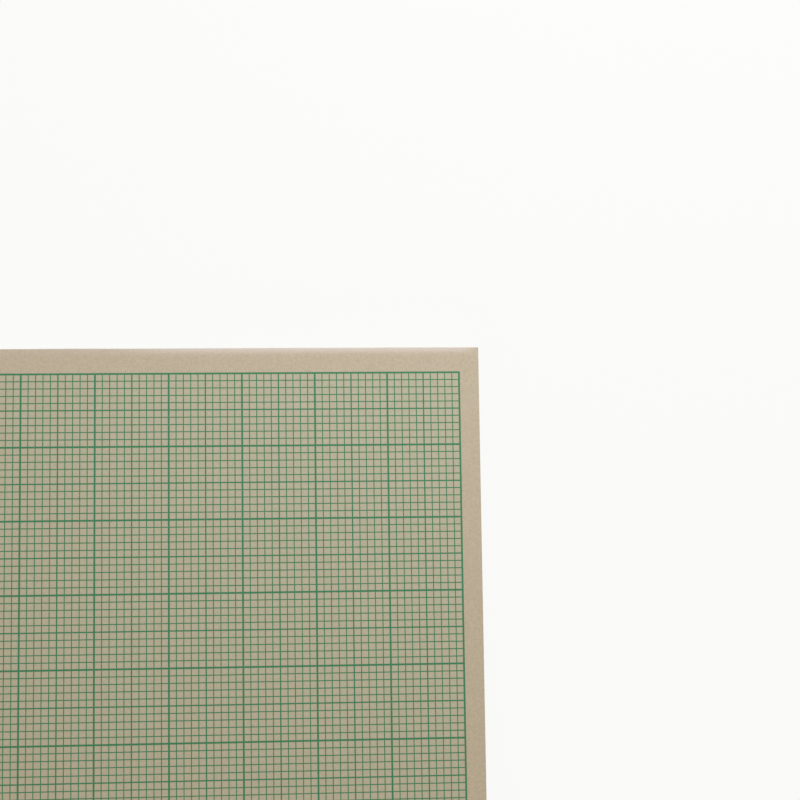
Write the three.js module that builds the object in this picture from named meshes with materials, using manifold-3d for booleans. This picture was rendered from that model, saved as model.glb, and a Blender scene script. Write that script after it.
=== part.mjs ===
// Graph pad: a block of ruled sheets on a greyboard back, glued into one block along its head.
// Millimetres, +Z up. The pad lies face up with its head towards +Y, and the origin is at the
// middle of its footprint, on the surface that it lies on.
import * as THREE from 'three';
import { mergeGeometries, mergeVertices } from 'three/addons/utils/BufferGeometryUtils.js';
import Module from 'manifold-3d';

const wasm = await Module();
wasm.setup();

// Paper and board
const SHEET_WIDTH = 210;
const SHEET_LENGTH = 297;
const SHEET_COUNT = 50;
const SHEET_CALIPER = 0.1;
const BOARD_THICKNESS = 1;

// Head edge: the glue draws the top sheets down in a narrow roll, which dies out at the corners
// and is slack over a stretch in between, measured from the right-hand corner
const ROLL_LENGTH = 0.8;
const ROLL_DROP = 0.2;
const ROLL_STEPS = 6;
const CORNER_FLAT = 1;
const CORNER_EASE = 2.5;
const CORNER_STATIONS = 4;
const SLACK_FROM = 40;
const SLACK_TO = 104;
const SLACK_EASE = 14;
const SLACK_SHARE = 0.1;
const STATION_STEP = 6;

// Film of padding glue on the head
const GLUE_THICKNESS = 0.125;
const GLUE_ROUNDING = 0.06;
const GLUE_LEAST_FLAT = 0.03;
const GLUE_SHORT_OF_TOP = 0.05;
const GLUE_CORNER_STEPS = 4;

// Ruled field, set off from the right-hand and head edges and filled with whole squares
// as far as the least margins at the left and the tail
const SQUARE = 1;
const MEDIUM_EVERY = 5;
const BOLD_EVERY = 10;
const RIGHT_MARGIN = 2.75;
const HEAD_MARGIN = 3.45;
const LEAST_LEFT_MARGIN = 2;
const LEAST_TAIL_MARGIN = 3;

// Line weights of a drawing-office ruling, and the film of ink that they are printed in
const FINE_LINE = 0.13;
const MEDIUM_LINE = 0.18;
const BOLD_LINE = 0.25;
const INK_FILM = 0.02;

// Levels and edges that follow from the sizes above
const BLOCK_THICKNESS = SHEET_COUNT * SHEET_CALIPER;
const BOARD_TOP = BOARD_THICKNESS;
const FACE = BOARD_TOP + BLOCK_THICKNESS;
const HEAD = (SHEET_LENGTH - GLUE_THICKNESS) / 2;
const TAIL = HEAD - SHEET_LENGTH;
const SIDE = SHEET_WIDTH / 2;

// Squares across and down, and the corners of the field on the middles of its frame lines
const COLUMNS = Math.floor((SHEET_WIDTH - RIGHT_MARGIN - LEAST_LEFT_MARGIN) / SQUARE);
const ROWS = Math.floor((SHEET_LENGTH - HEAD_MARGIN - LEAST_TAIL_MARGIN) / SQUARE);
const FIELD_RIGHT = SIDE - RIGHT_MARGIN;
const FIELD_TOP = HEAD - HEAD_MARGIN;
const FIELD_LEFT = FIELD_RIGHT - COLUMNS * SQUARE;
const FIELD_BOTTOM = FIELD_TOP - ROWS * SQUARE;

const paper = new THREE.MeshStandardMaterial({ color: 0xc3b39f, roughness: 0.9, metalness: 0 });
const greyboard = new THREE.MeshStandardMaterial({ color: 0x8d8577, roughness: 0.95, metalness: 0 });
const glue = new THREE.MeshStandardMaterial({ color: 0xdcd6c8, roughness: 0.45, metalness: 0 });
const ink = new THREE.MeshStandardMaterial({ color: 0x3c8d6c, roughness: 0.8, metalness: 0 });

function mesh(name, geometry, material) {
  const piece = new THREE.Mesh(geometry, material);
  piece.name = name;
  return piece;
}

// A profile drawn in the Y-Z plane and run across the full width of the pad
function acrossWidth(profile, curveSegments) {
  const geometry = new THREE.ExtrudeGeometry(profile, {
    depth: SHEET_WIDTH, bevelEnabled: false, curveSegments,
  });
  // The drawn x, y and the run become Y, Z and X
  const turn = new THREE.Matrix4().makeBasis(
    new THREE.Vector3(0, 1, 0), new THREE.Vector3(0, 0, 1), new THREE.Vector3(1, 0, 0));
  return geometry.applyMatrix4(turn).translate(-SIDE, 0, 0);
}

// Share of the full roll at a distance from the right-hand corner
function rollShare(distance) {
  const rise = (from) => THREE.MathUtils.smoothstep(from, CORNER_FLAT, CORNER_FLAT + CORNER_EASE);
  const slack = THREE.MathUtils.smoothstep(distance, SLACK_FROM, SLACK_FROM + SLACK_EASE)
    * (1 - THREE.MathUtils.smoothstep(distance, SLACK_TO, SLACK_TO + SLACK_EASE));
  return rise(distance) * rise(SHEET_WIDTH - distance) * (1 - (1 - SLACK_SHARE) * slack);
}

// Stations along the head, from one corner to the other: close together where the roll
// dies out at the corners, and evenly spaced between them
function stations() {
  const corner = [0];
  for (let step = 0; step <= CORNER_STATIONS; step += 1) {
    corner.push(CORNER_FLAT + CORNER_EASE * step / CORNER_STATIONS);
  }
  const far = corner.map((distance) => SHEET_WIDTH - distance).reverse();
  const start = corner.at(-1);
  const span = far[0] - start;
  const steps = Math.ceil(span / STATION_STEP);
  const between = [];
  for (let step = 1; step < steps; step += 1) between.push(start + span * step / steps);
  return [...corner, ...between, ...far];
}

// The block of sheets: square at the tail, and lofted at the head over an arc that leaves the
// face without a crease and is as deep at each station as the roll is there
function sheets() {
  const places = stations();
  const columns = places.length - 1;
  const rows = ROLL_STEPS + 1;
  const geometry = new THREE.BoxGeometry(columns, rows, 1, columns, rows, 1);
  const radius = (ROLL_LENGTH ** 2 + ROLL_DROP ** 2) / (2 * ROLL_DROP);
  const points = geometry.attributes.position;
  for (let index = 0; index < points.count; index += 1) {
    const distance = places[Math.round(columns / 2 - points.getX(index))];
    const row = Math.round(points.getY(index) + rows / 2);
    const intoRoll = row > 0 ? ROLL_LENGTH * (row - 1) / ROLL_STEPS : 0;
    const fall = (radius - Math.sqrt(radius ** 2 - intoRoll ** 2)) * rollShare(distance);
    const y = row > 0 ? HEAD - ROLL_LENGTH + intoRoll : TAIL;
    const z = points.getZ(index) > 0 ? FACE - fall : BOARD_TOP;
    points.setXYZ(index, SIDE - distance, y, z);
  }
  return mesh('sheets', geometry, paper);
}

// The greyboard back, trimmed flush with the sheets on all four sides
function backingBoard() {
  const geometry = new THREE.BoxGeometry(SHEET_WIDTH, SHEET_LENGTH, BOARD_THICKNESS);
  geometry.translate(0, (HEAD + TAIL) / 2, BOARD_THICKNESS / 2);
  return mesh('backing_board', geometry, greyboard);
}

// The film of padding glue over the head of the board and the block, with soft outer corners
function paddingGlue() {
  const top = FACE - ROLL_DROP - GLUE_SHORT_OF_TOP;
  const rounding = Math.min(GLUE_ROUNDING, GLUE_THICKNESS - GLUE_LEAST_FLAT);
  const shoulder = HEAD + GLUE_THICKNESS - rounding;
  const profile = new THREE.Shape();
  profile.moveTo(HEAD, 0);
  profile.absarc(shoulder, rounding, rounding, -Math.PI / 2, 0, false);
  profile.absarc(shoulder, top - rounding, rounding, 0, Math.PI / 2, false);
  profile.lineTo(HEAD, top);
  profile.closePath();
  return mesh('padding_glue', acrossWidth(profile, GLUE_CORNER_STEPS), glue);
}

// A line's weight from its place in the count: bold on the tens and at both ends of the field,
// medium on the fives, fine on the rest
function lineWidth(index, last) {
  if (index === 0 || index === last || index % BOLD_EVERY === 0) return BOLD_LINE;
  if (index % MEDIUM_EVERY === 0) return MEDIUM_LINE;
  return FINE_LINE;
}

// An upright box between two corners of the ruled face and two levels
function block(left, bottom, right, top, low, high) {
  const geometry = new THREE.BoxGeometry(right - left, top - bottom, high - low);
  return geometry.translate((left + right) / 2, (bottom + top) / 2, (low + high) / 2);
}

// A closed geometry as a solid that can be cut
function solid(geometry) {
  geometry.deleteAttribute('normal');
  geometry.deleteAttribute('uv');
  const shared = mergeVertices(geometry);
  return new wasm.Manifold(new wasm.Mesh({
    numProp: 3, vertProperties: shared.attributes.position.array, triVerts: shared.index.array,
  }));
}

// One direction of the ruling: a film of ink over the whole field, cut through between each line
// and the next, so that the frame lines hold the ends of the lines together. `slot` gives the
// left, bottom, right and top of the bare paper between two distances from the first line.
function ruling(name, count, slot, level) {
  const frame = BOLD_LINE / 2;
  const film = block(FIELD_LEFT - frame, FIELD_BOTTOM - frame,
    FIELD_RIGHT + frame, FIELD_TOP + frame, 0, INK_FILM);
  const slots = [];
  for (let index = 0; index < count; index += 1) {
    const near = index * SQUARE + lineWidth(index, count) / 2;
    const far = (index + 1) * SQUARE - lineWidth(index + 1, count) / 2;
    slots.push(block(...slot(near, far, frame), -INK_FILM, 2 * INK_FILM));
  }
  const lines = solid(film).subtract(solid(mergeGeometries(slots))).getMesh();
  const geometry = new THREE.BufferGeometry();
  geometry.setAttribute('position', new THREE.BufferAttribute(lines.vertProperties, 3));
  geometry.setIndex(new THREE.BufferAttribute(lines.triVerts, 1));
  const piece = mesh(name, geometry, ink);
  piece.position.z = level;
  return piece;
}

// The upright lines lie on the paper, counted from the right
function uprightLines() {
  return ruling('upright_lines', COLUMNS, (near, far, frame) => [
    FIELD_RIGHT - far, FIELD_BOTTOM + frame, FIELD_RIGHT - near, FIELD_TOP - frame], FACE);
}

// The level lines are printed over the upright ones, counted from the top
function levelLines() {
  return ruling('level_lines', ROWS, (near, far, frame) => [
    FIELD_LEFT + frame, FIELD_TOP - far, FIELD_RIGHT - frame, FIELD_TOP - near], FACE + INK_FILM);
}

const graphPad = new THREE.Group();
graphPad.add(backingBoard(), sheets(), paddingGlue(), uprightLines(), levelLines());

export default graphPad;
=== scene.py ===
"""Looks of the graph pad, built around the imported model.

The pad lies face up, +Z up, with its glued head towards +Y. Everything is in metres.
"""
import math
import random

import bmesh
import bpy
from bpy.props import FloatProperty, FloatVectorProperty, IntProperty, PointerProperty
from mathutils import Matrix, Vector, noise


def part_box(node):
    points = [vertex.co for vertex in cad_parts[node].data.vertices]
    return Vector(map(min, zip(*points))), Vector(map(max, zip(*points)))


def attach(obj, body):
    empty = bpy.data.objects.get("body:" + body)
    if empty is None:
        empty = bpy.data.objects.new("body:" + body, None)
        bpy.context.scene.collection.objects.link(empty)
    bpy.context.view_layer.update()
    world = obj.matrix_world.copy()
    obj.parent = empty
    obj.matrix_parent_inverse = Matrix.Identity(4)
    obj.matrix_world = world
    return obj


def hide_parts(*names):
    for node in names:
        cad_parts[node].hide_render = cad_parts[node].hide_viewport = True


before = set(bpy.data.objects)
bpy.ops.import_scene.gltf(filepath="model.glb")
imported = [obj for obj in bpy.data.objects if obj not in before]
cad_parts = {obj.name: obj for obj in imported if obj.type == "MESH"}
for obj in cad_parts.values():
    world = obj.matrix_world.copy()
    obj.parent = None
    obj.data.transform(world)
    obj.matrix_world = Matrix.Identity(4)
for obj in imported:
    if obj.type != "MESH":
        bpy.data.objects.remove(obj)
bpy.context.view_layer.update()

bl_info = {
    "name": "Graph Pad",
    "version": (1, 0, 0),
    "blender": (4, 5, 0),
    "location": "View3D > Sidebar > Graph Pad",
    "description": "Sheets, ruling, board and head glue of a millimetre-ruled pad",
    "category": "Object",
}

MM = 0.001
BLOCK_LOW, BLOCK_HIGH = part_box("sheets")
BOARD_LOW, BOARD_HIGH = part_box("backing_board")
GLUE_LOW, GLUE_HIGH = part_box("padding_glue")
FIELD_LOW, FIELD_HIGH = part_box("upright_lines")
HEAD = BLOCK_HIGH.y
TAIL = BLOCK_LOW.y
FACE = BLOCK_HIGH.z

# Depth of the head roll along the edge, as (distance from the right corner, share of the drop):
# the glue has drawn the sheets down in two long stretches, with a slack one between them, and
# has left the corners flat
ROLL_ALONG = (
    (0 * MM, 0.0), (0.4 * MM, 0.12), (1.2 * MM, 0.5), (2.4 * MM, 0.88), (12 * MM, 1.0),
    (40 * MM, 1.0), (52 * MM, 0.25), (62 * MM, 0.1), (96 * MM, 0.1), (118 * MM, 0.7),
    (165 * MM, 0.9), (196 * MM, 0.6), (207 * MM, 0.1), (210 * MM, 0.0),
)
# Cuts across a sheet near its head, as shares of the roll's length and of the painted highlight's
# reach
COARSE_ROLL_CUTS = (0.15, 0.35, 0.6, 1.0)
FINE_ROLL_CUTS = (0.06, 0.13, 0.21, 0.3, 0.4, 0.5, 0.62, 0.75, 0.87, 1.0)
HIGHLIGHT_CUTS = (0.65, 0.72, 0.79, 0.86, 0.93, 1.0)
# Widest columns that the cuts along the head leave in the lower leaves and in the top sheet
LEAF_COLUMN = 20 * MM
TOP_SHEET_COLUMN = 4 * MM
# Keeps the top sheet off the planes of the leaf below it and of the ink
TOP_SHEET_CLEARANCE = 0.002 * MM
# How far the paper's colour turns to the painted highlight at its head and to the plate's tint
HIGHLIGHT_SHARE = 0.43
PLATE_HAZE = 0.35

# Steps round a softened edge, and the mesh and the brush strokes of the glue film
EDGE_STEPS = 3
GLUE_COLUMNS = 140
GLUE_ROWS = 8
STROKE_LENGTH = 9 * MM
STROKE_WIDTH = 1.1 * MM

# Camera, set off from the middle of the frame line's top right corner on the face of the pad,
# with its turns about X, Y and Z in degrees, and its lens and sensor in millimetres
FRAME_LINE = 0.25 * MM
CAMERA_OFFSET = Vector((-27.14, -29.05, 245.2)) * MM
CAMERA_TURN = (5.918, -4.322, -0.809)
CAMERA_LENS = 80.5
CAMERA_SENSOR = 36.0
CAMERA_NEAR = 10 * MM

# Lamps, and the places on the pad that they are turned to
HEAD_CORNER = Vector((BLOCK_HIGH.x, HEAD, 0))
SOFTBOX_PLACE = HEAD_CORNER + Vector((40, 150, 150)) * MM
TAIL_MIDDLE = Vector((0, TAIL, 0))
FILL_PLACE = TAIL_MIDDLE + Vector((-60, -180, 260)) * MM

# Table top: how far it goes on each way from the middle, the gap that keeps it out of the plane
# of the pad's underside, how much of its look comes from the light on it, and the share of the
# light that it throws back onto the pad
TABLE_REACH = 4.0
FLOOR_GAP = 0.02 * MM
TABLE_LIT_SHARE = 0.06
TABLE_ALBEDO = 0.8
# Strength of the backdrop past the table's end, which hides where the two meet
BACKDROP_STRENGTH = 0.97

SEED = 7


def linear(hex_colour):
    """An sRGB hex colour as the linear triple that Blender's sockets hold."""
    def channel(value):
        return value / 12.92 if value <= 0.04045 else ((value + 0.055) / 1.055) ** 2.4
    digits = hex_colour.lstrip("#")
    return tuple(channel(int(digits[i:i + 2], 16) / 255) for i in (0, 2, 4))


def smooth(low, high, value):
    """0 below low, 1 above high and a smooth S between them."""
    t = min(max((value - low) / (high - low), 0.0), 1.0)
    return t * t * (3 - 2 * t)


class GraphPadSizes(bpy.types.PropertyGroup):
    """Sizes that the frame leaves open."""
    sheet_count: IntProperty(
        name="Sheets", description="Leaves in the block", default=50, min=2)
    leaf_gap: FloatProperty(
        name="Leaf gap", description="Air between one leaf and the next",
        default=0.006 * MM, unit="LENGTH", precision=6)
    trim_scatter: FloatProperty(
        name="Trim scatter", description="How far a leaf's edge lies inside the trimmed face",
        default=0.03 * MM, unit="LENGTH", precision=6)
    roll_length: FloatProperty(
        name="Roll length", description="How far from the head the leaves start to bend down",
        default=0.8 * MM, unit="LENGTH", precision=6)
    roll_drop: FloatProperty(
        name="Roll drop", description="How far the top leaf's head edge is drawn down",
        default=0.2 * MM, unit="LENGTH", precision=6)
    roll_depth: FloatProperty(
        name="Roll depth", description="Thickness of the leaves that bend with the top one",
        default=1.4 * MM, unit="LENGTH", precision=6)
    # Reach of the painted highlight on the top leaf's head: a paler band that stands for the light
    # the rolled edge catches
    highlight_reach: FloatProperty(
        name="Glue soak", description="How far glue has crept into the top leaf from its head",
        default=1.3 * MM, unit="LENGTH", precision=6)
    ink_film: FloatProperty(
        name="Ink film", description="Thickness of one printed layer of ink",
        default=0.004 * MM, unit="LENGTH", precision=6)
    board_rounding: FloatProperty(
        name="Board rounding", description="Radius pressed onto the board's edges by the trimming",
        default=0.1 * MM, unit="LENGTH", precision=6)
    glue_rounding: FloatProperty(
        name="Glue rounding", description="Radius of the glue film's outer corners",
        default=0.06 * MM, unit="LENGTH", precision=6)
    glue_unevenness: FloatProperty(
        name="Glue unevenness", description="Depth of the brush marks in the glue film",
        default=0.05 * MM, unit="LENGTH", precision=6)


class GraphPadColours(bpy.types.PropertyGroup):
    """Colours of the papers, the ink and the glue."""
    paper: FloatVectorProperty(
        name="Paper", description="Buff writing paper", subtype="COLOR", default=linear("#C9BBA3"))
    paper_cloud: FloatVectorProperty(
        name="Paper cloud", description="Paper where its fibres lie thicker", subtype="COLOR",
        default=linear("#C3B59D"))
    ink: FloatVectorProperty(
        name="Ink", description="Green ruling ink", subtype="COLOR", default=linear("#3A865B"))
    plate_tint: FloatVectorProperty(
        name="Plate tint", description="Paper under the thinnest film of ink", subtype="COLOR",
        default=linear("#B4BCA2"))
    # Colour of the painted highlight on the top leaf's rolled head
    highlight_colour: FloatVectorProperty(
        name="Soaked paper", description="Paper that glue has soaked", subtype="COLOR",
        default=linear("#E2D2CC"))
    greyboard: FloatVectorProperty(
        name="Greyboard", description="Recycled greyboard", subtype="COLOR",
        default=linear("#8D8577"))
    glue: FloatVectorProperty(
        name="Glue", description="Dry padding glue", subtype="COLOR", default=linear("#DDD7CA"))
    backdrop: FloatVectorProperty(
        name="Backdrop", description="Pale surface that the pad lies on", subtype="COLOR",
        default=linear("#FBFBF9"))


class GraphPadLight(bpy.types.PropertyGroup):
    """The softbox, the fill lamp and the room's light."""
    softbox_power: FloatProperty(
        name="Softbox", description="Power of the softbox beyond the pad's head", default=0.48,
        unit="POWER")
    softbox_size: FloatProperty(
        name="Softbox size", description="Side of the softbox", default=0.15, unit="LENGTH")
    softbox_tint: FloatVectorProperty(
        name="Softbox tint", description="Cool light of the softbox", subtype="COLOR",
        default=linear("#E3F1FF"))
    fill_power: FloatProperty(
        name="Fill", description="Power of the wide lamp beyond the pad's tail", default=0.44,
        unit="POWER")
    fill_size: FloatProperty(
        name="Fill size", description="Side of the fill lamp", default=0.2, unit="LENGTH")
    fill_tint: FloatVectorProperty(
        name="Fill tint", description="White light of the fill lamp", subtype="COLOR",
        default=linear("#FFFBF5"))
    room_strength: FloatProperty(
        name="Room", description="Strength of the light from all around", default=0.43)
    room_tint: FloatVectorProperty(
        name="Room tint", description="Warm light from all around", subtype="COLOR",
        default=linear("#FFEBD4"))


# Modelling helpers

def plate(low, high):
    """A new bmesh of a plain box between two corners."""
    bm = bmesh.new()
    bmesh.ops.create_cube(bm, size=1.0)
    bmesh.ops.scale(bm, vec=high - low, verts=bm.verts)
    bmesh.ops.translate(bm, vec=(low + high) / 2, verts=bm.verts)
    return bm


def cut(bm, place, axis):
    """Cuts the whole mesh with a plane across an axis, and keeps both sides."""
    point = Vector((0, 0, 0))
    point[axis] = place
    normal = Vector((0, 0, 0))
    normal[axis] = 1
    geometry = bm.verts[:] + bm.edges[:] + bm.faces[:]
    bmesh.ops.bisect_plane(bm, geom=geometry, dist=1e-8, plane_co=point, plane_no=normal)


def soften(bm, edges, radius):
    """Rounds edges of the mesh."""
    bmesh.ops.bevel(bm, geom=edges, offset=radius, affect="EDGES", segments=EDGE_STEPS,
                    profile=0.5, material=-1)


def finish_piece(name, bm, material, replaced):
    """Turns a bmesh into a piece of the pad that stands for a node of the frame."""
    bmesh.ops.recalc_face_normals(bm, faces=bm.faces)
    mesh = bpy.data.meshes.new(name)
    bm.to_mesh(mesh)
    bm.free()
    mesh.materials.append(material)
    piece = bpy.data.objects.new(name, mesh)
    bpy.context.scene.collection.objects.link(piece)
    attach(piece, "root")
    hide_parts(replaced)
    return piece


def roll_share(x):
    """Share of the full roll at a place along the head."""
    from_corner = BLOCK_HIGH.x - x
    for (near, first), (far, second) in zip(ROLL_ALONG, ROLL_ALONG[1:]):
        if from_corner <= far:
            return first + (second - first) * smooth(near, far, from_corner)
    return 0.0


def roll_down(point, sizes):
    """How far a point of the block is drawn down by the head roll: along an arc that leaves the
    face without a crease, and less with each leaf below the top one."""
    into_roll = point.y - (HEAD - sizes.roll_length)
    if into_roll <= 0:
        return 0.0
    radius = (sizes.roll_length ** 2 + sizes.roll_drop ** 2) / (2 * sizes.roll_drop)
    fall = radius - math.sqrt(radius ** 2 - into_roll ** 2)
    depth_share = min(max(1 - (FACE - point.z) / sizes.roll_depth, 0.0), 1.0)
    return fall * depth_share * roll_share(point.x)


def cut_leaf(bm, low, high, head_cuts, column_step):
    """Cuts a flat sheet across near its head, and lengthwise where the roll's depth changes
    and at even steps between."""
    for distance in head_cuts:
        cut(bm, HEAD - distance, 1)
    places = [BLOCK_HIGH.x - stop for stop, share in ROLL_ALONG[1:-1]]
    columns = math.ceil((high.x - low.x) / column_step)
    places += [low.x + (high.x - low.x) * i / columns for i in range(1, columns)]
    for place in places:
        cut(bm, place, 0)


# Material helpers

def new_material(name):
    """An empty material, its node tree and its Principled shader, already linked."""
    material = bpy.data.materials.new(name)
    material.use_nodes = True
    tree = material.node_tree
    tree.nodes.clear()
    output = add(tree, "ShaderNodeOutputMaterial")
    shader = add(tree, "ShaderNodeBsdfPrincipled")
    tree.links.new(shader.outputs["BSDF"], output.inputs["Surface"])
    return material, tree, shader


def add(tree, kind, inputs=None, **settings):
    """Adds a node with its settings. An input is a socket to link from, or a plain value."""
    node = tree.nodes.new(kind)
    for name, value in settings.items():
        setattr(node, name, value)
    for key, value in (inputs or {}).items():
        if isinstance(value, bpy.types.NodeSocket):
            tree.links.new(value, node.inputs[key])
        else:
            node.inputs[key].default_value = value
    return node


def rgba(colour):
    """A linear colour as a socket with four channels takes it."""
    return (*colour, 1.0)


def per_size(size):
    """A noise scale whose features are about this large."""
    return 1.0 / size


def uncoated_paper(name, colours, leaf_edges):
    """Buff uncoated writing paper, machine made: matt, with faint clouds where the fibres lie
    thicker and a fine felt grain. The top sheet has a painted highlight along its rolled head,
    which stands for the light that the bent edge catches, and has a breath of green between the
    lines, which the printing plate leaves there."""
    material, tree, shader = new_material(name)
    place = add(tree, "ShaderNodeTexCoord").outputs["Object"]
    clouds = add(tree, "ShaderNodeTexNoise", {
        "Vector": place, "Scale": per_size(3.5 * MM), "Detail": 4.0, "Roughness": 0.6})
    grain = add(tree, "ShaderNodeTexNoise", {
        "Vector": place, "Scale": per_size(0.37 * MM), "Detail": 3.0, "Roughness": 0.65})
    tone = add(tree, "ShaderNodeMix", {
        "Factor": clouds.outputs["Fac"], "A": rgba(colours.paper),
        "B": rgba(colours.paper_cloud)}, data_type="RGBA")
    speckle = add(tree, "ShaderNodeMapRange", {
        "Value": grain.outputs["Fac"], "From Min": 0.3, "From Max": 0.7,
        "To Min": 0.915, "To Max": 1.085})
    colour = add(tree, "ShaderNodeVectorMath", {
        0: tone.outputs["Result"], 1: speckle.outputs["Result"]}, operation="MULTIPLY")
    if leaf_edges:
        shade = add(tree, "ShaderNodeAttribute", attribute_name="leaf_tone")
        edge = add(tree, "ShaderNodeMapRange", {
            "Value": shade.outputs["Fac"], "To Min": 0.9, "To Max": 1.06})
        colour = add(tree, "ShaderNodeVectorMath", {
            0: colour.outputs["Vector"], 1: edge.outputs["Result"]}, operation="MULTIPLY")
        base = colour.outputs["Vector"]
    else:
        printed = add(tree, "ShaderNodeAttribute", attribute_name="plate_haze")
        colour = add(tree, "ShaderNodeMix", {
            "Factor": printed.outputs["Fac"], "A": colour.outputs["Vector"],
            "B": rgba(colours.plate_tint)}, data_type="RGBA")
        # Painted highlight: the top leaf's head turns paler where it rolls down, in place of the
        # light that it catches
        highlight_mask = add(tree, "ShaderNodeAttribute", attribute_name="painted_highlight_mask")
        highlit = add(tree, "ShaderNodeMix", {
            "Factor": highlight_mask.outputs["Fac"], "A": colour.outputs["Result"],
            "B": rgba(colours.highlight_colour)}, data_type="RGBA")
        base = highlit.outputs["Result"]
    tree.links.new(base, shader.inputs["Base Color"])
    bump = add(tree, "ShaderNodeBump", {
        "Height": grain.outputs["Fac"], "Strength": 0.35, "Distance": 0.02 * MM})
    tree.links.new(bump.outputs["Normal"], shader.inputs["Normal"])
    shader.inputs["Roughness"].default_value = 0.9
    shader.inputs["IOR"].default_value = 1.47
    return material


def printed_ink(colours):
    """Green lithographic ink on uncoated paper: dull and slightly mottled, because the paper
    takes it unevenly and lets its own colour through in pinholes."""
    material, tree, shader = new_material("lithographic_ink")
    place = add(tree, "ShaderNodeTexCoord").outputs["Object"]
    mottle = add(tree, "ShaderNodeTexNoise", {
        "Vector": place, "Scale": per_size(0.35 * MM), "Detail": 3.0, "Roughness": 0.6})
    lift = add(tree, "ShaderNodeMapRange", {
        "Value": mottle.outputs["Fac"], "From Min": 0.52, "From Max": 0.8,
        "To Min": 0.0, "To Max": 0.15})
    tone = add(tree, "ShaderNodeMix", {
        "Factor": lift.outputs["Result"], "A": rgba(colours.ink), "B": rgba(colours.paper)},
        data_type="RGBA")
    tree.links.new(tone.outputs["Result"], shader.inputs["Base Color"])
    shader.inputs["Roughness"].default_value = 0.75
    shader.inputs["IOR"].default_value = 1.5
    return material


def recycled_greyboard(colours):
    """Grey millboard of waste paper, calendered: matt and brownish, flecked with pale and dark
    fibres, with a shallow felt texture."""
    material, tree, shader = new_material("recycled_greyboard")
    place = add(tree, "ShaderNodeTexCoord").outputs["Object"]
    stretch = add(tree, "ShaderNodeMapping", {
        "Vector": place, "Scale": (1.0, 0.35, 1.0), "Rotation": (0.0, 0.0, 0.5)})
    pulp = add(tree, "ShaderNodeTexNoise", {
        "Vector": place, "Scale": per_size(5 * MM), "Detail": 6.0, "Roughness": 0.7})
    fibres = add(tree, "ShaderNodeTexNoise", {
        "Vector": stretch.outputs["Vector"], "Scale": per_size(0.7 * MM), "Detail": 4.0,
        "Roughness": 0.7, "Distortion": 1.5})
    ground = add(tree, "ShaderNodeMapRange", {
        "Value": pulp.outputs["Fac"], "From Min": 0.3, "From Max": 0.7,
        "To Min": 0.88, "To Max": 1.12})
    dark = add(tree, "ShaderNodeMapRange", {
        "Value": fibres.outputs["Fac"], "From Min": 0.33, "From Max": 0.43,
        "To Min": 0.55, "To Max": 1.0})
    pale = add(tree, "ShaderNodeMapRange", {
        "Value": fibres.outputs["Fac"], "From Min": 0.57, "From Max": 0.68,
        "To Min": 1.0, "To Max": 1.35})
    flecks = add(tree, "ShaderNodeMath", {
        0: dark.outputs["Result"], 1: pale.outputs["Result"]}, operation="MULTIPLY")
    shade = add(tree, "ShaderNodeMath", {
        0: ground.outputs["Result"], 1: flecks.outputs["Value"]}, operation="MULTIPLY")
    colour = add(tree, "ShaderNodeVectorMath", {
        0: colours.greyboard, 1: shade.outputs["Value"]}, operation="MULTIPLY")
    tree.links.new(colour.outputs["Vector"], shader.inputs["Base Color"])
    bump = add(tree, "ShaderNodeBump", {
        "Height": fibres.outputs["Fac"], "Strength": 0.5, "Distance": 0.05 * MM})
    tree.links.new(bump.outputs["Normal"], shader.inputs["Normal"])
    shader.inputs["Roughness"].default_value = 0.95
    return material


def dried_glue(colours):
    """White padding glue, an acetate dispersion brushed on and dried: a milky skin with a dull
    gloss, streaked along the brush's way."""
    material, tree, shader = new_material("dried_padding_glue")
    place = add(tree, "ShaderNodeTexCoord").outputs["Object"]
    along = add(tree, "ShaderNodeMapping", {"Vector": place, "Scale": (0.12, 1.0, 1.0)})
    streaks = add(tree, "ShaderNodeTexNoise", {
        "Vector": along.outputs["Vector"], "Scale": per_size(0.5 * MM), "Detail": 4.0,
        "Roughness": 0.6})
    shade = add(tree, "ShaderNodeMapRange", {
        "Value": streaks.outputs["Fac"], "From Min": 0.3, "From Max": 0.7,
        "To Min": 0.9, "To Max": 1.05})
    colour = add(tree, "ShaderNodeVectorMath", {
        0: colours.glue, 1: shade.outputs["Result"]}, operation="MULTIPLY")
    sheen = add(tree, "ShaderNodeMapRange", {
        "Value": streaks.outputs["Fac"], "From Min": 0.3, "From Max": 0.7,
        "To Min": 0.35, "To Max": 0.55})
    tree.links.new(colour.outputs["Vector"], shader.inputs["Base Color"])
    tree.links.new(sheen.outputs["Result"], shader.inputs["Roughness"])
    bump = add(tree, "ShaderNodeBump", {
        "Height": streaks.outputs["Fac"], "Strength": 0.4, "Distance": 0.03 * MM})
    tree.links.new(bump.outputs["Normal"], shader.inputs["Normal"])
    shader.inputs["IOR"].default_value = 1.47
    return material


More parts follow.
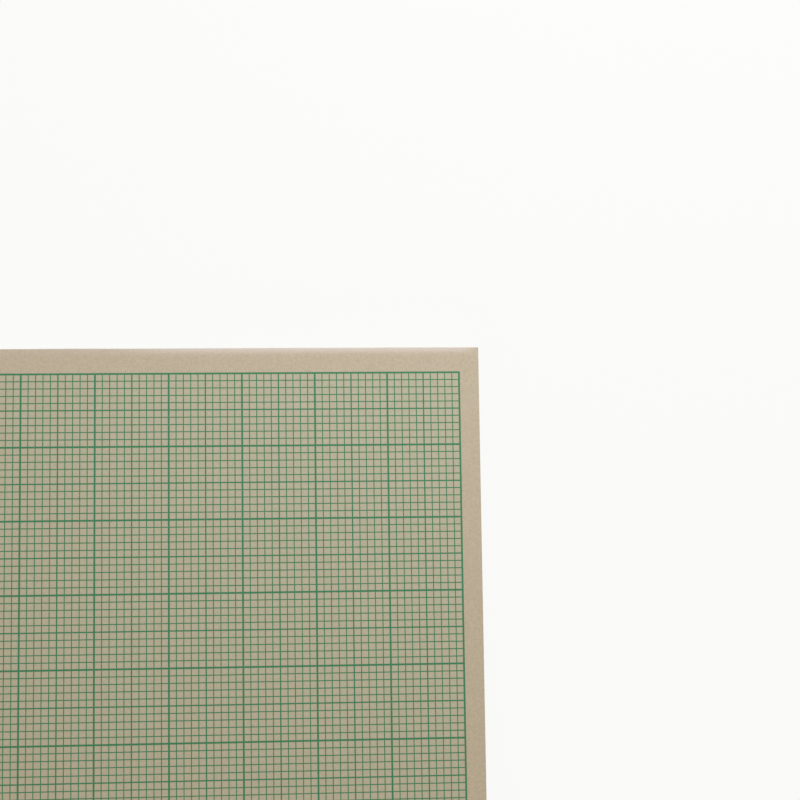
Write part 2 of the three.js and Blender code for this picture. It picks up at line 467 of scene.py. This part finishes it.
def pale_surface(colours):
    """Matt pale table top. The eye sees it near white and even, with a breath of the pad's
    shadow, while the pad gets the light of a plain white table."""
    material = bpy.data.materials.new("pale_surface")
    material.use_nodes = True
    tree = material.node_tree
    tree.nodes.clear()
    rays = add(tree, "ShaderNodeLightPath")
    seen = add(tree, "ShaderNodeMath", {
        0: rays.outputs["Is Camera Ray"], 1: rays.outputs["Is Glossy Ray"]}, operation="MAXIMUM")
    seen = add(tree, "ShaderNodeMath", {
        0: seen.outputs["Value"], 1: rays.outputs["Is Transmission Ray"]}, operation="MAXIMUM")
    lit = add(tree, "ShaderNodeBsdfDiffuse", {"Color": rgba(colours.backdrop)})
    even = add(tree, "ShaderNodeEmission", {"Color": rgba(colours.backdrop), "Strength": 1.0})
    shown = add(tree, "ShaderNodeMixShader", {
        0: TABLE_LIT_SHARE, 1: even.outputs["Emission"], 2: lit.outputs["BSDF"]})
    plain = add(tree, "ShaderNodeBsdfDiffuse", {"Color": rgba([TABLE_ALBEDO] * 3)})
    surface = add(tree, "ShaderNodeMixShader", {
        0: seen.outputs["Value"], 1: plain.outputs["BSDF"], 2: shown.outputs["Shader"]})
    add(tree, "ShaderNodeOutputMaterial", {"Surface": surface.outputs["Shader"]})
    return material


def square_lamp(name, place, target, size, power, tint):
    """A square lamp at a place, turned to a point on the pad."""
    lamp = bpy.data.lights.new(name, "AREA")
    lamp.shape = "SQUARE"
    lamp.size = size
    lamp.energy = power
    lamp.color = tint
    holder = bpy.data.objects.new(name, lamp)
    holder.location = place
    holder.rotation_euler = (target - place).to_track_quat("-Z", "Y").to_euler()
    bpy.context.scene.collection.objects.link(holder)


# Operators, one for each piece or group of like pieces

class GRAPHPAD_OT_sheet_block(bpy.types.Operator):
    """Builds the leaves under the top one, each a thin sheet of its own"""
    bl_idname = "graphpad.sheet_block"
    bl_label = "Sheet block"

    def execute(self, context):
        sizes = context.scene.graphpad_sizes
        pitch = (BLOCK_HIGH.z - BLOCK_LOW.z) / sizes.sheet_count
        inset = Vector((sizes.trim_scatter, sizes.trim_scatter, 0))
        low = BLOCK_LOW + inset
        high = Vector((BLOCK_HIGH.x - inset.x, HEAD, BLOCK_LOW.z + pitch - sizes.leaf_gap))
        bm = plate(low, high)
        head_cuts = [share * sizes.roll_length for share in COARSE_ROLL_CUTS]
        cut_leaf(bm, low, high, head_cuts, LEAF_COLUMN)
        tone = bm.faces.layers.float.new("leaf_tone")
        first = bm.verts[:] + bm.edges[:] + bm.faces[:]
        draw = random.Random(SEED)
        for index in range(1, sizes.sheet_count - 1):
            copy = bmesh.ops.duplicate(bm, geom=first)["geom"]
            verts = [part for part in copy if isinstance(part, bmesh.types.BMVert)]
            head_side, tail_side, tail_end = (
                draw.uniform(-1, 1) * sizes.trim_scatter for offset in range(3))
            bmesh.ops.translate(bm, vec=(head_side, 0, 0),
                                verts=[vert for vert in verts if vert.co.y > 0])
            bmesh.ops.translate(bm, vec=(tail_side, tail_end, 0),
                                verts=[vert for vert in verts if vert.co.y < 0])
            bmesh.ops.translate(bm, vec=(0, 0, index * pitch), verts=verts)
            shade = draw.random()
            for part in copy:
                if isinstance(part, bmesh.types.BMFace):
                    part[tone] = shade
        for vert in bm.verts:
            vert.co.z -= roll_down(vert.co, sizes)
        paper = uncoated_paper("buff_paper_edges", context.scene.graphpad_colours, True)
        finish_piece("sheet_block", bm, paper, "sheets")
        return {"FINISHED"}


class GRAPHPAD_OT_top_sheet(bpy.types.Operator):
    """Builds the top leaf, whose head edge is rolled down and carries a painted highlight"""
    bl_idname = "graphpad.top_sheet"
    bl_label = "Top sheet"

    def execute(self, context):
        sizes = context.scene.graphpad_sizes
        pitch = (BLOCK_HIGH.z - BLOCK_LOW.z) / sizes.sheet_count
        low = Vector((BLOCK_LOW.x, TAIL, FACE - pitch + TOP_SHEET_CLEARANCE))
        high = Vector((BLOCK_HIGH.x, HEAD, FACE - TOP_SHEET_CLEARANCE))
        bm = plate(low, high)
        head_cuts = [share * sizes.roll_length for share in FINE_ROLL_CUTS]
        head_cuts += [share * sizes.highlight_reach for share in HIGHLIGHT_CUTS]
        cut_leaf(bm, low, high, head_cuts, TOP_SHEET_COLUMN)
        for axis in (0, 1):
            cut(bm, FIELD_LOW[axis], axis)
            cut(bm, FIELD_HIGH[axis], axis)
        haze = bm.faces.layers.float.new("plate_haze")
        for face in bm.faces:
            middle = face.calc_center_median()
            printed = all(FIELD_LOW[axis] < middle[axis] < FIELD_HIGH[axis] for axis in (0, 1))
            face[haze] = PLATE_HAZE if printed else 0.0
        # Painted highlight along the rolled head, strongest where the roll is deepest
        highlight_mask = bm.verts.layers.float.new("painted_highlight_mask")
        for vert in bm.verts:
            reach = smooth(sizes.highlight_reach, 0, HEAD - vert.co.y)
            vert[highlight_mask] = HIGHLIGHT_SHARE * reach * math.sqrt(roll_share(vert.co.x))
            vert.co.z -= roll_down(vert.co, sizes)
        paper = uncoated_paper("buff_paper", context.scene.graphpad_colours, False)
        finish_piece("top_sheet", bm, paper, "sheets")
        return {"FINISHED"}


class GRAPHPAD_OT_ruling(bpy.types.Operator):
    """Prints the ruled lines, in two layers as thin as real ink"""
    bl_idname = "graphpad.ruling"
    bl_label = "Ruling"

    def execute(self, context):
        sizes = context.scene.graphpad_sizes
        ink = printed_ink(context.scene.graphpad_colours)
        for layer, name in enumerate(("upright_lines", "level_lines")):
            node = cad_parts[name]
            bm = bmesh.new()
            bm.from_mesh(node.data)
            bm.transform(node.matrix_world)
            low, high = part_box(name)
            for vert in bm.verts:
                share = (vert.co.z - low.z) / (high.z - low.z)
                vert.co.z = FACE + (layer + share) * sizes.ink_film
            finish_piece(name.replace("lines", "rules"), bm, ink, name)
        return {"FINISHED"}


class GRAPHPAD_OT_greyboard_back(bpy.types.Operator):
    """Builds the board, with the edges that the trimming knife has pressed round"""
    bl_idname = "graphpad.greyboard_back"
    bl_label = "Greyboard back"

    def execute(self, context):
        sizes = context.scene.graphpad_sizes
        bm = plate(BOARD_LOW, BOARD_HIGH)
        under = [edge for edge in bm.edges if all(v.co.z < BOARD_HIGH.z / 2 for v in edge.verts)]
        soften(bm, under, sizes.board_rounding)
        board = recycled_greyboard(context.scene.graphpad_colours)
        finish_piece("greyboard_back", bm, board, "backing_board")
        return {"FINISHED"}


class GRAPHPAD_OT_glue_film(bpy.types.Operator):
    """Builds the film of glue on the head, uneven along the strokes of the brush"""
    bl_idname = "graphpad.glue_film"
    bl_label = "Glue film"

    def execute(self, context):
        sizes = context.scene.graphpad_sizes
        bm = plate(GLUE_LOW, GLUE_HIGH)
        middle = (GLUE_LOW.y + GLUE_HIGH.y) / 2
        outer = [edge for edge in bm.edges if all(v.co.y > middle for v in edge.verts)]
        soften(bm, outer, sizes.glue_rounding)
        for axis, count in ((0, GLUE_COLUMNS), (2, GLUE_ROWS)):
            span = GLUE_HIGH[axis] - GLUE_LOW[axis]
            for index in range(1, count):
                cut(bm, GLUE_LOW[axis] + span * index / count, axis)
        for vert in bm.verts:
            if vert.co.y > middle:
                stroke = Vector((vert.co.x / STROKE_LENGTH, 0, vert.co.z / STROKE_WIDTH))
                depth = 0.5 + 0.5 * noise.noise(stroke)
                vert.co.y -= sizes.glue_unevenness * min(max(depth, 0.0), 1.0)
        glue = dried_glue(context.scene.graphpad_colours)
        finish_piece("glue_film", bm, glue, "padding_glue")
        return {"FINISHED"}


class GRAPHPAD_OT_stage(bpy.types.Operator):
    """Sets the camera over the top right corner, the pale surface and the soft light"""
    bl_idname = "graphpad.stage"
    bl_label = "Stage"

    def execute(self, context):
        scene = context.scene
        light = scene.graphpad_light
        colours = scene.graphpad_colours

        bm = bmesh.new()
        bmesh.ops.create_grid(bm, x_segments=1, y_segments=1, size=TABLE_REACH)
        mesh = bpy.data.meshes.new("table_top")
        bm.to_mesh(mesh)
        bm.free()
        mesh.materials.append(pale_surface(colours))
        floor = bpy.data.objects.new("table_top", mesh)
        floor.location.z = -FLOOR_GAP
        scene.collection.objects.link(floor)

        lens = bpy.data.cameras.new("camera")
        lens.sensor_width = CAMERA_SENSOR
        lens.lens = CAMERA_LENS
        lens.clip_start = CAMERA_NEAR
        camera = bpy.data.objects.new("camera", lens)
        corner = Vector((FIELD_HIGH.x - FRAME_LINE / 2, FIELD_HIGH.y - FRAME_LINE / 2, FACE))
        camera.location = corner + CAMERA_OFFSET
        camera.rotation_euler = [math.radians(angle) for angle in CAMERA_TURN]
        scene.collection.objects.link(camera)
        scene.camera = camera

        square_lamp("softbox", SOFTBOX_PLACE, HEAD_CORNER, light.softbox_size,
                    light.softbox_power, light.softbox_tint)
        square_lamp("fill", FILL_PLACE, TAIL_MIDDLE, light.fill_size, light.fill_power,
                    light.fill_tint)

        world = bpy.data.worlds.new("room")
        world.use_nodes = True
        tree = world.node_tree
        tree.nodes.clear()
        rays = add(tree, "ShaderNodeLightPath")
        room = add(tree, "ShaderNodeBackground", {
            "Color": rgba(light.room_tint), "Strength": light.room_strength})
        seen = add(tree, "ShaderNodeBackground", {
            "Color": rgba(colours.backdrop), "Strength": BACKDROP_STRENGTH})
        mixed = add(tree, "ShaderNodeMixShader", {
            0: rays.outputs["Is Camera Ray"], 1: room.outputs["Background"],
            2: seen.outputs["Background"]})
        add(tree, "ShaderNodeOutputWorld", {"Surface": mixed.outputs["Shader"]})
        scene.world = world
        scene.view_settings.view_transform = "Standard"
        return {"FINISHED"}


OPERATORS = (
    GRAPHPAD_OT_stage,
    GRAPHPAD_OT_greyboard_back,
    GRAPHPAD_OT_sheet_block,
    GRAPHPAD_OT_top_sheet,
    GRAPHPAD_OT_ruling,
    GRAPHPAD_OT_glue_film,
)


class GRAPHPAD_PT_panel(bpy.types.Panel):
    """Lists the pad's pieces and settings"""
    bl_label = "Graph Pad"
    bl_idname = "GRAPHPAD_PT_panel"
    bl_space_type = "VIEW_3D"
    bl_region_type = "UI"
    bl_category = "Graph Pad"

    def draw(self, context):
        column = self.layout.column()
        for operator in OPERATORS:
            column.operator(operator.bl_idname)
        for group in ("graphpad_sizes", "graphpad_colours", "graphpad_light"):
            settings = getattr(context.scene, group)
            for name in settings.__annotations__:
                column.prop(settings, name)


GROUPS = {
    "graphpad_sizes": GraphPadSizes,
    "graphpad_colours": GraphPadColours,
    "graphpad_light": GraphPadLight,
}


def register():
    for name, group in GROUPS.items():
        bpy.utils.register_class(group)
        setattr(bpy.types.Scene, name, PointerProperty(type=group))
    for operator in OPERATORS:
        bpy.utils.register_class(operator)
    bpy.utils.register_class(GRAPHPAD_PT_panel)


def unregister():
    bpy.utils.unregister_class(GRAPHPAD_PT_panel)
    for operator in reversed(OPERATORS):
        bpy.utils.unregister_class(operator)
    for name, group in reversed(GROUPS.items()):
        delattr(bpy.types.Scene, name)
        bpy.utils.unregister_class(group)


def main():
    register()
    bpy.ops.graphpad.stage()
    bpy.ops.graphpad.greyboard_back()
    bpy.ops.graphpad.sheet_block()
    bpy.ops.graphpad.top_sheet()
    bpy.ops.graphpad.ruling()
    bpy.ops.graphpad.glue_film()


if __name__ == "__main__":
    main()
